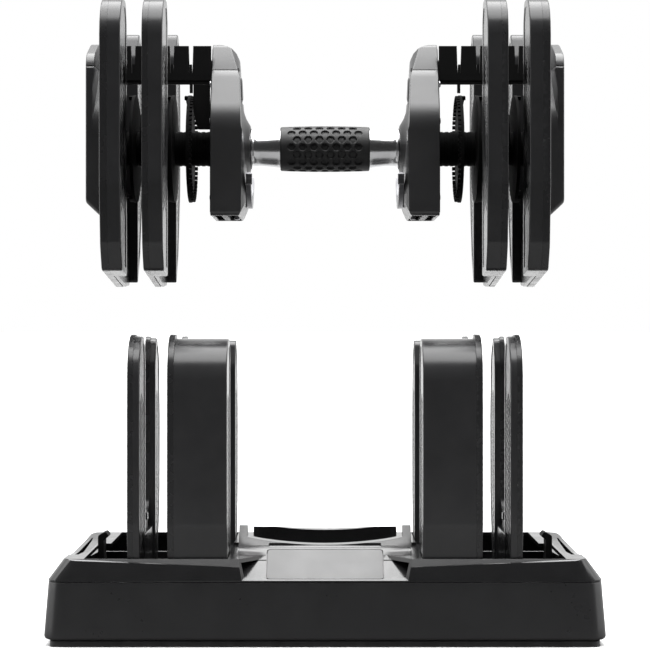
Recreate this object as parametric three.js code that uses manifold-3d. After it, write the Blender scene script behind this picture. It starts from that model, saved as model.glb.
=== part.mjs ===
// Adjustable dumbbell lifted out of its storage tray.
// Units are millimetres. X runs along the handle, Y runs away from the user, Z is up.
// The origin is at the middle of the tray, on the surface that the tray stands on.
import * as THREE from 'three';
import { mergeVertices } from 'three/addons/utils/BufferGeometryUtils.js';
import { ConvexGeometry } from 'three/addons/geometries/ConvexGeometry.js';
import Module from 'manifold-3d';

const wasm = await Module();
wasm.setup();

// ---------------------------------------------------------------- driving dimensions
const AXLE_DOCKED = 129;              // height of the handle axis when the dumbbell stands in the tray
const LIFT = 267;                     // how far the dumbbell is raised
const AXLE_LIFTED = AXLE_DOCKED + LIFT;
const GAP = 0.3;                      // clearance between neighbouring pieces

const GRIP = { half: 37, radius: 18.9, endRadius: 18.1, bore: 15.3 };
const TUBE = { end: 67, radius: 16.5, waist: 15, bore: 9.5 };
const ROD = { end: 186, radius: 9.2 };
const DISC = { radius: 44.5, lipOuter: 44, lipInner: 41, thick: 2.4, lip: 3, hub: 14 };
const TAB = { low: -40.4, high: -34.6, width: 8 };
const SETTING_STEP = 36;              // degrees of handle turn from one weight setting to the next
const SETTING_AT_REST = 4;

// Weight plates, from the handle outwards: inner face, outer face, steel core, selector disc,
// how far the moulding's top lies below the core's, the height of the far leg above the axle, and the
// settings (0 to 9) at which the disc carries the plate.
const PLATES = [
  { name: 'k', inner: 76.4, outer: 123.3, core: 5, disc: 110.4, stepDown: 3.5, farTop: 112, raised: false,
    settings: [6, 7, 8, 9] },
  { name: 'b', inner: 126.8, outer: 143.2, core: 5, disc: 124.2, stepDown: 0, farTop: 105, raised: true,
    settings: [2, 3, 4, 5, 6, 7, 8, 9] },
  { name: 't', inner: 144.8, outer: 154.5, core: 4.4, disc: 144.4, stepDown: 1.5, farTop: 112, raised: false,
    settings: [1, 3, 5, 7, 9] },
  { name: 'a', inner: 159.8, outer: 176.2, core: 6, disc: 156, stepDown: 0, farTop: 105, raised: true,
    settings: [4, 5, 8, 9] },
];
const SLOT_HALF = 47;                 // half width of the slot between a plate's legs
const PLATE_TOP = 115;                // height of the near leg above the axle
const COVER = { face: 68, lean: 2.8, chin: 64.4, outer: 90, half: 45, low: -57.5, seam: 63, high: 86.3,
  wall: 3 };
const BOSS = { face: 61.6, radius: 18.5, foot: 37 };   // cone that stands out of the cover round the handle
const LOCK_PIN = { x: 73, radius: 2.2, flange: 3, proud: 1.2 };
const BACK_PLATE = { inner: 90.3, outer: 93.2 };
const RAIL = { from: 93.5, to: 177, low: 51.6, high: 82.9, half: 20, slotFloor: 60.6 };
const END_CAP = { inner: 177.3, band: 188, outer: 193.5, low: -61, wall: 2.8 };
const TRAY = { length: 439, width: 224, foot: 5, seam: 50, deck: 67.6, draft: 3, wall: 3, corner: 15 };
const CREST = { x: 205, y: 104 };     // half length and half width of the deck's flat top
const WELL = { from: 75.8, to: 178.6, half: 101.6 };
const SADDLE = { half: 69, scoop: 62, rimLow: 74.3, slopeTop: 75, slopeBack: -60 };

// ---------------------------------------------------------------- materials
const finish = (color, roughness, metalness) => new THREE.MeshStandardMaterial({ color, roughness, metalness });
const satinBlack = finish(0x1c1c1d, 0.42, 0);
const deepBlack = finish(0x101011, 0.5, 0);
const paintedSteel = finish(0x222223, 0.4, 0.6);
const chromeFinish = finish(0xd8d8da, 0.12, 1);
const gripRubber = finish(0x151515, 0.8, 0);
const clearLens = finish(0x2c2f33, 0.1, 0);
const brightSteel = finish(0xa8a8ab, 0.3, 1);
const panelGrey = finish(0x2a2a2b, 0.3, 0);

// ---------------------------------------------------------------- geometry helpers
const toSolid = (geometry) => {
  const plain = geometry.index ? geometry.toNonIndexed() : geometry;
  for (const name of Object.keys(plain.attributes)) if (name !== 'position') plain.deleteAttribute(name);
  const merged = mergeVertices(plain, 1e-4);
  return new wasm.Manifold(new wasm.Mesh({
    numProp: 3,
    vertProperties: new Float32Array(merged.attributes.position.array),
    triVerts: new Uint32Array(merged.index.array),
  }));
};

const toGeometry = (solid) => {
  const { vertProperties, triVerts } = solid.getMesh();
  const geometry = new THREE.BufferGeometry();
  geometry.setAttribute('position', new THREE.BufferAttribute(new Float32Array(vertProperties), 3));
  geometry.setIndex(new THREE.BufferAttribute(new Uint32Array(triVerts), 1));
  return geometry;
};

// Points of a closed outline whose corners [u, v, radius] are rounded where a radius is given.
const rounded = (corners, steps = 5) => {
  const points = [];
  corners.forEach(([u, v, radius = 0], i) => {
    const corner = new THREE.Vector2(u, v);
    if (!radius) return points.push(corner);
    const before = corners[(i + corners.length - 1) % corners.length];
    const after = corners[(i + 1) % corners.length];
    const back = new THREE.Vector2(before[0] - u, before[1] - v).normalize();
    const on = new THREE.Vector2(after[0] - u, after[1] - v).normalize();
    const half = Math.acos(THREE.MathUtils.clamp(back.dot(on), -1, 1)) / 2;
    const centre = corner.clone().addScaledVector(back.clone().add(on).normalize(), radius / Math.sin(half));
    const first = corner.clone().addScaledVector(back, radius / Math.tan(half)).sub(centre);
    const last = corner.clone().addScaledVector(on, radius / Math.tan(half)).sub(centre);
    const sweep = Math.atan2(first.cross(last), first.dot(last));
    for (let k = 0; k <= steps; k++) {
      points.push(first.clone().rotateAround(new THREE.Vector2(), sweep * k / steps).add(centre));
    }
  });
  return points;
};

const arc = (radius, fromDegrees, toDegrees, steps) => Array.from({ length: steps + 1 }, (_, k) => {
  const angle = THREE.MathUtils.degToRad(fromDegrees + (toDegrees - fromDegrees) * k / steps);
  return new THREE.Vector2(radius * Math.cos(angle), radius * Math.sin(angle));
});

const prism = (points, from, to, u, v, w) => {
  const geometry = new THREE.ExtrudeGeometry(new THREE.Shape(points), { depth: to - from, bevelEnabled: false });
  geometry.translate(0, 0, from);
  geometry.applyMatrix4(new THREE.Matrix4().makeBasis(u, v, w));
  return toSolid(geometry);
};
const X = new THREE.Vector3(1, 0, 0);
const Y = new THREE.Vector3(0, 1, 0);
const Z = new THREE.Vector3(0, 0, 1);
const alongX = (points, from, to) => prism(points, from, to, Y, Z, X);       // outline in Y, Z
const alongZ = (points, from, to) => prism(points, from, to, X, Y, Z);       // outline in X, Y
const alongY = (points, from, to) =>                                         // outline in X, Z
  prism(points.map((p) => new THREE.Vector2(p.y, p.x)), from, to, Z, X, Y);

const box = (x0, x1, y0, y1, z0, z1) => {
  const geometry = new THREE.BoxGeometry(x1 - x0, y1 - y0, z1 - z0);
  geometry.translate((x0 + x1) / 2, (y0 + y1) / 2, (z0 + z1) / 2);
  return toSolid(geometry);
};
const rod = (radius, x0, x1, sides = 24) => alongX(arc(radius, 0, 360 - 360 / sides, sides - 1), x0, x1);
const upright = (radius, x, y, z0, z1, sides = 16) => {
  const ring = arc(radius, 0, 360 - 360 / sides, sides - 1).map((p) => p.add(new THREE.Vector2(x, y)));
  return alongZ(ring, z0, z1);
};

// A turned piece about the X axis: profile points are [radius, x] from one end to the other.
const turned = (profile, sides = 24) => {
  const geometry = new THREE.LatheGeometry(profile.map(([r, x]) => new THREE.Vector2(r, x)), sides);
  geometry.applyMatrix4(new THREE.Matrix4().makeBasis(Y, X, Z.clone().negate()));
  return toSolid(geometry);
};

// A closed solid through rounded rectangles [half length, half width, height, corner radius].
const rectLoft = (sections, steps = 5) => {
  const rings = sections.map(([hx, hy, z, r]) =>
    rounded([[-hx, -hy, r], [hx, -hy, r], [hx, hy, r], [-hx, hy, r]], steps).map((p) => [p.x, p.y, z]));
  const count = rings[0].length;
  const last = rings.length - 1;
  const index = [];
  for (let s = 0; s < last; s++) {
    for (let i = 0; i < count; i++) {
      const a = s * count + i;
      const b = s * count + (i + 1) % count;
      index.push(a, b, b + count, a, b + count, a + count);
    }
  }
  for (let i = 1; i < count - 1; i++) {
    index.push(0, i + 1, i, last * count, last * count + i, last * count + i + 1);
  }
  const geometry = new THREE.BufferGeometry();
  geometry.setAttribute('position', new THREE.BufferAttribute(new Float32Array(rings.flat(2)), 3));
  geometry.setIndex(index);
  return toSolid(geometry);
};

// ---------------------------------------------------------------- assembly
const dumbbell = new THREE.Group();
const add = (name, solid, material, { side = 1, height = 0, back = 0 } = {}) => {
  const geometry = toGeometry(solid);
  if (side < 0) {
    geometry.scale(-1, 1, 1);
    const index = geometry.index.array;
    for (let i = 0; i < index.length; i += 3) [index[i], index[i + 1]] = [index[i + 1], index[i]];
  }
  const mesh = new THREE.Mesh(geometry, material);
  mesh.name = name;
  mesh.position.set(0, back, height);
  dumbbell.add(mesh);
};
const SIDES = [{ word: 'left', side: -1 }, { word: 'right', side: 1 }];

// ---------------------------------------------------------------- handle, on the axle line
const handleTube = () => {
  const outside = [
    [TUBE.radius, -TUBE.end], [TUBE.radius, -60], [TUBE.waist + 0.3, -57], [TUBE.waist, -54], [TUBE.waist, -50],
    [TUBE.radius, -41], [TUBE.radius, -GRIP.half - GAP], [GRIP.bore - GAP, -GRIP.half - GAP],
  ];
  const mirrored = outside.map(([r, x]) => [r, -x]).reverse();
  return turned([...outside, ...mirrored, [TUBE.bore, TUBE.end], [TUBE.bore, -TUBE.end], outside[0]]);
};

const gripSleeve = () => turned([
  [GRIP.bore, -GRIP.half], [GRIP.endRadius - 1, -GRIP.half], [GRIP.endRadius, -GRIP.half + 1],
  [GRIP.endRadius, -GRIP.half + 3], [GRIP.radius - 0.3, -18], [GRIP.radius, 0], [GRIP.radius - 0.3, 18],
  [GRIP.endRadius, GRIP.half - 3], [GRIP.endRadius, GRIP.half - 1], [GRIP.endRadius - 1, GRIP.half],
  [GRIP.bore, GRIP.half], [GRIP.bore, -GRIP.half],
], 24);

const LEVEL = { height: AXLE_LIFTED };
add('handle_tube', handleTube(), chromeFinish, LEVEL);
add('grip_sleeve', gripSleeve(), gripRubber, LEVEL);
add('drive_rod', rod(ROD.radius, -ROD.end, ROD.end, 16), brightSteel, LEVEL);

// ---------------------------------------------------------------- selector discs
// The lip under a plate's tab is present only in the sectors of the settings that carry the plate.
// Angles are measured in the Y, Z plane, and the tab is straight below the axle.
const lipSectors = (settings) => {
  const firsts = settings.filter((setting) => !settings.includes(setting - 1));
  return firsts.map((first) => {
    let last = first;
    while (settings.includes(last + 1)) last += 1;
    const from = -90 + (first - SETTING_AT_REST - 0.47) * SETTING_STEP;
    const to = -90 + (last - SETTING_AT_REST + 0.47) * SETTING_STEP;
    const steps = 3 * (last - first + 1);
    return arc(DISC.lipOuter, from, to, steps).concat(arc(DISC.lipInner, to, from, steps));
  });
};

const selectorDisc = (plate, hubStart, hubEnd) => {
  let solid = rod(DISC.radius, plate.disc, plate.disc + DISC.thick, 32);
  solid = solid.add(rod(DISC.hub, hubStart, hubEnd, 20));
  for (const sector of lipSectors(plate.settings)) {
    solid = solid.add(alongX(sector, plate.disc + 1, plate.disc + DISC.thick + DISC.lip));
  }
  return solid.subtract(rod(TUBE.bore, hubStart - 1, hubEnd + 1, 16));
};

// ---------------------------------------------------------------- weight plates
// Outlines run in Y and in height above the axle, down the near leg, under the plate and up the far
// leg. The mouth of the slot is flared, and the near leg stands a little taller than the far one.
const nearSide = (top) => [
  [-SLOT_HALF, top - 18, 14], [-56, top, 8], [-82, top - 6, 37], [-97, top - 26, 40], [-103, 40, 40],
  [-103, -36, 40], [-96, -84, 20], [-85, -103, 6],
];
const farSide = (top) => [
  [46, -113, 10], [72, -88, 30], [95, -28, 60], [97, 40, 40], [90, top - 18, 20], [74, top - 2, 12],
  [60, top + 1, 12], [SLOT_HALF, top - 24, 20],
];
const coreOutline = (top, farTop) => rounded([
  ...nearSide(top), [22, -114, 8], ...farSide(farTop), [SLOT_HALF, TAB.high, 10], [-SLOT_HALF, TAB.high, 10],
], 3);
const legOutlines = (top, farTop) => [
  rounded([...nearSide(top), [-SLOT_HALF, -107, 3]], 3),
  rounded([[SLOT_HALF, -112.6, 2], ...farSide(farTop).slice(1)], 3),
];
const hookOutline = () => [[-1, TAB.low], [1, TAB.low], [1, TAB.high], [-1, TAB.high]]
  .map(([u, v]) => new THREE.Vector2(u * TAB.width / 2, v));

const plateCore = (plate) => {
  const from = plate.outer - plate.core;
  const solid = alongX(coreOutline(PLATE_TOP, plate.farTop), from, plate.outer);
  const base = alongX([[-5, TAB.low], [5, TAB.low], [5, TAB.high - 1], [-5, TAB.high - 1]]
    .map(([u, v]) => new THREE.Vector2(u, v)), from - 1, from + 1);
  return solid.add(base).add(alongX(hookOutline(), plate.disc + DISC.thick + GAP, from + 1));
};

// The moulded weights fill both legs, and a thin skirt behind the bottom joins them. The thickest
// plate is deep at the bottom too, and its legs are hollowed from the side that the steel core closes.
const plateMoulding = (plate) => {
  const to = plate.outer - plate.core - GAP;
  const deep = plate.name === 'k';
  const [near, far] = legOutlines(PLATE_TOP - plate.stepDown, plate.farTop - plate.stepDown);
  const bridgeTop = deep ? -66 : -50;
  const bridgeFrom = deep ? plate.inner : to - 3;
  const bridge = rounded([
    [-50, -106.6], [-50, bridgeTop], [50, bridgeTop], [50, -109.5], [46, -112.6], [22, -113.9],
  ], 3);
  const solid = alongX(near, plate.inner, to).add(alongX(far, plate.inner, to)).add(alongX(bridge, bridgeFrom, to));
  if (!deep) return solid;
  const pocket = { from: 88, inner: 53, outer: 90, low: -94, high: 78 };
  return solid
    .subtract(box(pocket.from, to + 1, -pocket.outer, -pocket.inner, pocket.low, pocket.high))
    .subtract(box(pocket.from, to + 1, pocket.inner, pocket.outer, pocket.low, pocket.high));
};

for (const { word, side } of SIDES) {
  PLATES.forEach((plate, i) => {
    const height = plate.raised ? AXLE_LIFTED : AXLE_DOCKED;
    add(`plate_${plate.name}_core_${word}`, plateCore(plate), paintedSteel, { side, height });
    add(`plate_${plate.name}_weights_${word}`, plateMoulding(plate), satinBlack, { side, height });
    const hubStart = i ? plate.disc + 1 : BACK_PLATE.inner - 1;
    const hubEnd = i < PLATES.length - 1 ? PLATES[i + 1].disc - GAP : END_CAP.inner - 1;
    add(`selector_${plate.name}_${word}`, selectorDisc(plate, hubStart, hubEnd), deepBlack,
      { side, height: AXLE_LIFTED });
  });
}

// ---------------------------------------------------------------- inner covers
// The outline is upright at the sides up to just above the axle and leans in to a narrow rounded top.
const GABLE = [[45, 14, 60], [35.5, 41, 100], [7, 86.3, 9]];
// The end band stands upright as far as its shoulders, under a nearly flat top.
const SHOULDERED = [[45, 71.5, 8], [3, 86.3, 8]];
const coverOutline = (inset, low, corners = GABLE) => {
  const right = corners.map(([y, z, radius], i) => (
    i < corners.length - 1 ? [y - inset, z, radius] : [y - inset * 0.5, z - inset, radius]));
  const left = right.map(([y, z, radius]) => [-y, z, radius]).reverse();
  const foot = (side) => [side * (COVER.half - inset), low + inset, 4];
  return rounded([foot(-1), foot(1), ...right, ...left], 5);
};
const coverSide = (inset) => rounded([
  [COVER.outer, COVER.low + inset], [COVER.face + 1.5, COVER.low + inset, 2], [COVER.chin + inset, -47, 2],
  [COVER.chin + inset, 4, 3], [COVER.face + inset, 16, 3],
  [COVER.face + COVER.lean + inset, COVER.high - inset, 17 - inset], [COVER.outer, COVER.high - inset],
], 4);
const windowOutline = (grow) => rounded([
  [-12 - grow, 38 - grow, 3], [12 + grow, 38 - grow, 3], [12 + grow, 58 + grow, 3], [-12 - grow, 58 + grow, 3],
], 4);

const coverShell = () => {
  const whole = alongX(coverOutline(0, COVER.low), 60, COVER.outer)
    .intersect(alongY(coverSide(0), -60, 60));
  const room = alongX(coverOutline(COVER.wall, COVER.low), 60, COVER.outer + 1)
    .intersect(alongY(coverSide(COVER.wall), -60, 60))
    .add(alongX(coverOutline(COVER.wall, COVER.low), COVER.outer - 1, COVER.outer + 2));
  const boss = turned([[0, BOSS.face], [BOSS.radius, BOSS.face], [BOSS.foot, COVER.face + 1], [0, COVER.face + 1]]);
  return whole.subtract(room).add(boss);
};
const coverLower = () => coverShell()
  .subtract(box(50, 100, -60, 60, COVER.seam, 100))
  .subtract(rod(TUBE.radius + 0.4, 55, 75, 32))
  .subtract(alongX(windowOutline(0.3), 60, 74))
  .subtract(upright(LOCK_PIN.radius + 0.4, LOCK_PIN.x, 0, COVER.low - 2, COVER.low + 6));
const coverCap = () => coverShell().subtract(box(50, 100, -60, 60, -100, COVER.seam + GAP));

const backPlate = () => alongX(coverOutline(0.5, COVER.low), BACK_PLATE.inner, BACK_PLATE.outer)
  .subtract(rod(DISC.hub + 0.6, 80, 100));

// The numbered dial turns with the handle behind the window. Its rim has a notch for each setting.
const dialRing = () => {
  let solid = rod(42, 72.4, 75.4, 30).add(rod(15, 74, 88.6, 20)).subtract(rod(TUBE.bore, 60, 100, 16));
  for (let i = 0; i < 10; i++) {
    const notch = alongX(arc(2.4, 0, 300, 5).map((p) => p.add(new THREE.Vector2(42.4, 0))), 71, 77);
    solid = solid.subtract(toSolid(toGeometry(notch).rotateX(THREE.MathUtils.degToRad(i * SETTING_STEP))));
  }
  return solid;
};
const lockPin = () => upright(LOCK_PIN.radius, LOCK_PIN.x, 0, COVER.low - LOCK_PIN.proud, COVER.low + 8)
  .add(upright(LOCK_PIN.flange, LOCK_PIN.x, 0, COVER.low + COVER.wall + 0.5, COVER.low + COVER.wall + 2));

// The lower half of the cover carries a raised index guard with a setting mark on the near side.
const indexGuard = () => {
  const band = arc(49.5, 212, 328, 12).concat(arc(41, 328, 212, 12));
  const mark = rounded([[-42, -32, 1], [-35, -32, 1], [-35, -23, 1], [-42, -23, 1]], 3);
  return alongX(band, 60.2, COVER.chin - GAP).add(alongX(mark, 59.2, COVER.chin - GAP));
};

for (const { word, side } of SIDES) {
  const place = { side, height: AXLE_LIFTED };
  add(`inner_cover_${word}`, coverLower(), satinBlack, place);
  add(`inner_cover_cap_${word}`, coverCap(), satinBlack, place);
  add(`cover_back_plate_${word}`, backPlate(), deepBlack, place);
  add(`number_window_${word}`, alongX(windowOutline(0), COVER.face + 0.4, COVER.face + 2.6), clearLens, place);
  add(`dial_ring_${word}`, dialRing(), panelGrey, place);
  add(`lock_pin_${word}`, lockPin(), brightSteel, place);
  add(`index_guard_${word}`, indexGuard(), brightSteel, place);
}

// ---------------------------------------------------------------- carrier rails and end caps
const combSlot = (x) => alongY(
  [[x - 1.2, RAIL.slotFloor], [x + 1.2, RAIL.slotFloor], [x + 1.9, RAIL.high + 1], [x - 1.9, RAIL.high + 1]]
    .map(([u, v]) => new THREE.Vector2(u, v)), -60, 60);

// The near comb is deep and slotted, the rear one is a plain bar, and a block at each end joins them.
const carrierRail = () => {
  const face = 4.5;
  const rearLow = 56.5;
  const rearHigh = 72.3;
  let solid = box(RAIL.from, RAIL.to, -RAIL.half, -RAIL.half + face, RAIL.low, RAIL.high);
  solid = solid.add(box(RAIL.from, RAIL.to, RAIL.half - face, RAIL.half, rearLow, rearHigh));
  for (const [from, to] of [[RAIL.from, RAIL.from + 4], [RAIL.to - 4, RAIL.to]]) {
    solid = solid.add(box(from, to, -RAIL.half + 1, RAIL.half - 1, rearLow, rearHigh));
  }
  solid = solid.add(box(RAIL.from, RAIL.to, -RAIL.half - 0.6, -RAIL.half + 2, RAIL.low + 3, RAIL.slotFloor - 2));
  solid = solid.add(box(108.6, 111, -RAIL.half, -RAIL.half + face, RAIL.low - 7, RAIL.low + 4));
  for (const x of [110, 125.6, 141.4, 157.4]) solid = solid.subtract(combSlot(x));
  return solid;
};

const endSide = (inset) => rounded([
  [END_CAP.inner, END_CAP.low + inset], [END_CAP.outer - 15, END_CAP.low + inset, 2],
  [END_CAP.outer - inset, END_CAP.low + 14, 10], [END_CAP.outer - inset, COVER.high - inset, 3.5 - inset],
  [END_CAP.inner, COVER.high - inset],
], 4);
const endOutline = (inset) => coverOutline(inset, END_CAP.low);
const endShell = () => {
  const band = coverOutline(-0.4, END_CAP.low, SHOULDERED);
  const whole = alongX(endOutline(0), END_CAP.inner, END_CAP.outer)
    .add(alongX(band, END_CAP.band, END_CAP.outer + 1)).intersect(alongY(endSide(0), -60, 60));
  const room = alongX(endOutline(END_CAP.wall), END_CAP.inner + END_CAP.wall, END_CAP.outer + 1)
    .intersect(alongY(endSide(END_CAP.wall), -60, 60));
  return whole.subtract(room).subtract(rod(ROD.radius + 0.5, END_CAP.inner - 1, END_CAP.inner + 5, 24));
};
// The slot in the floor of the end cap takes the tray's latch hook when the dumbbell is docked.
const endCap = () => endShell()
  .subtract(box(170, 200, -60, 60, COVER.seam, 100))
  .subtract(box(END_CAP.inner - 1, 191.5, -13, 13, END_CAP.low - 1, -40));
const endCapTop = () => endShell().subtract(box(170, 200, -60, 60, -100, COVER.seam + GAP));
const rodNut = () => rod(15, 180.6, 186, 6).subtract(rod(ROD.radius + GAP, 170, 200, 24));

for (const { word, side } of SIDES) {
  const place = { side, height: AXLE_LIFTED };
  add(`carrier_rail_${word}`, carrierRail(), deepBlack, place);
  add(`end_cap_${word}`, endCap(), satinBlack, place);
  add(`end_cap_top_${word}`, endCapTop(), satinBlack, place);
  add(`rod_nut_${word}`, rodNut(), brightSteel, place);
}
const railBracket = () => alongY(rounded([[94.6, 15], [104.6, 15], [108, 30], [108, RAIL.low - GAP],
  [94.6, RAIL.low - GAP]]), -RAIL.half, -RAIL.half + 8);
add('rail_bracket_left', railBracket(), deepBlack, { side: -1, height: AXLE_LIFTED });

// ---------------------------------------------------------------- tray
const SLOPE_FRONT = { y: -TRAY.width / 2 + TRAY.draft, z: TRAY.seam + 1.5 };
const slopeAngle = Math.atan2(SADDLE.slopeTop - SLOPE_FRONT.z, SADDLE.slopeBack - SLOPE_FRONT.y);
const onSlope = (corners, low, high) => {
  const geometry = toGeometry(alongZ(rounded(corners, 4), low, high));
  geometry.rotateX(slopeAngle);
  geometry.translate(0, SLOPE_FRONT.y, SLOPE_FRONT.z);
  return toSolid(geometry);
};
const panelCorners = (grow) => [
  [-45.7 - grow, 2.6 - grow, 3], [45.7 + grow, 2.6 - grow, 3], [45.7 + grow, 45.6 + grow, 3],
  [-45.7 - grow, 45.6 + grow, 3],
];

const trayBase = () => {
  const hx = TRAY.length / 2;
  const hy = TRAY.width / 2;
  const outside = rectLoft([
    [hx - 2, hy - 2, TRAY.foot, TRAY.corner - 2], [hx, hy, TRAY.foot + 2, TRAY.corner],
    [hx - TRAY.draft, hy - TRAY.draft, TRAY.seam, TRAY.corner],
  ]);
  const wall = TRAY.wall;
  const inside = rectLoft([
    [hx - wall - 2, hy - wall - 2, TRAY.foot + wall, TRAY.corner - wall],
    [hx - TRAY.draft - wall, hy - TRAY.draft - wall, TRAY.seam + 1, TRAY.corner - wall],
  ]);
  return outside.subtract(inside);
};

const trayDeck = () => {
  const hx = TRAY.length / 2 - TRAY.draft;
  const hy = TRAY.width / 2 - TRAY.draft;
  const low = TRAY.seam + GAP;
  const wall = TRAY.wall;
  let solid = rectLoft([
    [hx, hy, low, TRAY.corner], [hx, hy, low + 1.2, TRAY.corner],
    [CREST.x, CREST.y, TRAY.deck - 0.8, TRAY.corner - 5], [CREST.x - 0.8, CREST.y - 0.8, TRAY.deck, TRAY.corner - 6],
  ]);
  solid = solid.subtract(rectLoft([
    [hx - wall, hy - wall, low - 1, TRAY.corner - wall], [CREST.x - 2, CREST.y - 2, TRAY.deck - wall, 8],
  ]));
  // The saddle under the hand rises between the wells.
  const profile = rounded([
    [SLOPE_FRONT.y + 1, low + 0.4], [100, low + 0.4], [78, TRAY.deck + 5, 3], [62, SADDLE.slopeTop + 1.5, 3],
    [SADDLE.slopeBack + 10, SADDLE.slopeTop + 14], [SADDLE.slopeBack - 5, SADDLE.slopeTop - 2.4],
  ]);
  const saddle = alongX(profile, -SADDLE.half, SADDLE.half);
  const rimArc = Array.from({ length: 17 }, (_, k) => {
    const x = (k / 8 - 1) * SADDLE.scoop;
    return new THREE.Vector2(x, SADDLE.rimLow + x * x / 660);
  });
  const above = alongY([...rimArc, new THREE.Vector2(SADDLE.scoop, 120), new THREE.Vector2(-SADDLE.scoop, 120)],
    -120, 120);
  const scoop = alongZ(rounded([[-SADDLE.scoop, -48, 12], [SADDLE.scoop, -48, 12], [SADDLE.scoop, 56, 12],
    [-SADDLE.scoop, 56, 12]]), 56, 120);
  solid = solid.add(saddle).subtract(above).subtract(scoop);
  // Behind the posts a flat shelf lies at deck height under each inner cover.
  for (const side of [-1, 1]) {
    solid = solid.subtract(box(Math.min(side * 61, side * 90), Math.max(side * 61, side * 90), -47.5, 90,
      TRAY.deck, 130));
    solid = solid.add(box(Math.min(side * 70, side * 75.5), Math.max(side * 70, side * 75.5), -5, 5,
      TRAY.deck - 4, AXLE_DOCKED + COVER.low - LOCK_PIN.proud - GAP));
  }
  // Hollow under the saddle.
  solid = solid.subtract(box(-SADDLE.half + wall, SADDLE.half - wall, -90, 90, low - 1, 53));
  // The front slope cuts through the deck's crest and ends in angled cheeks.
  const cheek = [[-64.7, -109, 51.5], [-47.3, -69.8, 70.3], [-44, -62.4, 73.9]];
  const below = [[-64.7, -125, 43.8]];
  const away = new THREE.Vector3(-3.3, 2, 11.2).multiplyScalar(4);
  const corners = [...cheek, ...below].map(([x, y, z]) => new THREE.Vector3(x, y, z));
  const oneSide = [...corners, ...corners.map((corner) => corner.clone().add(away))];
  const bothSides = [...oneSide, ...oneSide.map(({ x, y, z }) => new THREE.Vector3(-x, y, z))];
  solid = solid.subtract(toSolid(new ConvexGeometry(bothSides))).subtract(onSlope(panelCorners(0.5), -1.6, 5));
  // In front of the wells a lighter facet falls away, deeper towards the middle of the tray.
  for (const side of [-1, 1]) {
    const facet = [
      [206, -102.2, TRAY.deck + 0.1], [206, -104.4, 66.6], [60, -105.7, 61.4], [60, -102.2, TRAY.deck + 0.1],
    ].map(([x, y, z]) => new THREE.Vector3(side * x, y, z));
    const outward = new THREE.Vector3(0, -12, 7);
    solid = solid.subtract(toSolid(new ConvexGeometry(
      [...facet, ...facet.map((corner) => corner.clone().add(outward))])));
  }
  // The rim at each end dips in the middle, as a hold for the fingers. A block under it keeps it closed.
  const dip = arc(544, 0, 354, 59).map((p) => p.add(new THREE.Vector2(15, 604)));
  for (const side of [-1, 1]) {
    const block = box(Math.min(side * 190, side * 202), Math.max(side * 190, side * 202), -80, 101, 56.5, 66);
    const cut = alongX(dip, Math.min(side * 190, side * 222), Math.max(side * 190, side * 222));
    solid = solid.add(block).subtract(cut);
  }
  // Wells for the weight plates.
  for (const side of [-1, 1]) {
    solid = solid.subtract(box(Math.min(side * WELL.from, side * WELL.to), Math.max(side * WELL.from, side * WELL.to),
      -WELL.half, WELL.half, low - 1, 130));
    solid = solid.subtract(box(Math.min(side * 170, side * 188.2), Math.max(side * 170, side * 188.2),
      -WELL.half, 9.7, low - 1, 130));
  }
  return solid;
};

const labelPanel = () => onSlope(panelCorners(0), -1.3, 0);

// A cradle on the tray floor carries the plates, with ribs in the gaps between them.
const plateCradle = () => {
  const floor = TRAY.foot + TRAY.wall + GAP;
  const rest = AXLE_DOCKED - 114 - GAP;
  let solid = box(71.5, 178.4, -80, 80, floor, rest);
  for (const [from, to] of [[71.5, 74.6], [124, 126.1], [155.2, 157], [177, 178.4]]) {
    solid = solid.add(box(from, to, -70, 70, rest - 1, 44));
  }
  const wedge = alongX(rounded([[-86, rest - 1], [-46, rest - 1], [-86, rest + 9]]), 75, 175.5);
  return solid.add(wedge.intersect(box(75, 175.5, -80, -40, 0, rest + 3.2)));
};

const latchHook = () => {
  const side = rounded([[179, 36], [187.5, 36], [187.5, 76, 2], [181, 79.5, 1.5], [178.6, 75.4, 1], [182.5, 72.5],
    [182.5, 60]], 3);
  return alongY(side, -9, 9);
};

add('tray_base', trayBase(), satinBlack);
add('tray_deck', trayDeck(), satinBlack);
add('label_panel', labelPanel(), panelGrey);
for (const { word, side } of SIDES) {
  add(`plate_cradle_${word}`, plateCradle(), deepBlack, { side });
  add(`latch_hook_${word}`, latchHook(), deepBlack, { side });
}
for (const [word, back] of [['front', -101], ['rear', 101]]) {
  add(`foot_rail_${word}`, rectLoft([[214, 8, 0, 4], [214, 8, TRAY.foot - GAP, 4]], 3), gripRubber, { back });
}

export default dumbbell;
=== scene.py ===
import math

import bmesh
import bpy
from mathutils import Matrix, Vector


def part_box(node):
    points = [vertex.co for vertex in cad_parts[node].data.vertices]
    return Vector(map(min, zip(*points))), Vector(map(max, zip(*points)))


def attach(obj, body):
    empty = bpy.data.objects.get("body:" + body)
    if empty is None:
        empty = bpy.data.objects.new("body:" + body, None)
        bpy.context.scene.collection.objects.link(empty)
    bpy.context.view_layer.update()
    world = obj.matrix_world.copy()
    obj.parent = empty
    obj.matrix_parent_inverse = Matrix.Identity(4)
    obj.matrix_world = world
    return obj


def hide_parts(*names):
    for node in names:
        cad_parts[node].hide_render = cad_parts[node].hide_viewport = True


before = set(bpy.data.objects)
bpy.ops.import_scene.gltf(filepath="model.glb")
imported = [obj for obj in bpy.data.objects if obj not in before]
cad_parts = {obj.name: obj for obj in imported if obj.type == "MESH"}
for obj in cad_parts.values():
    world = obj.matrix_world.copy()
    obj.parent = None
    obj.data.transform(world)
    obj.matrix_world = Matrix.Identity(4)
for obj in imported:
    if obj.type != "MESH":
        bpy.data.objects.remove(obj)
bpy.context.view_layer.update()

# ---------------------------------------------------------------- driving dimensions, in millimetres
MM = 0.001
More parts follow.
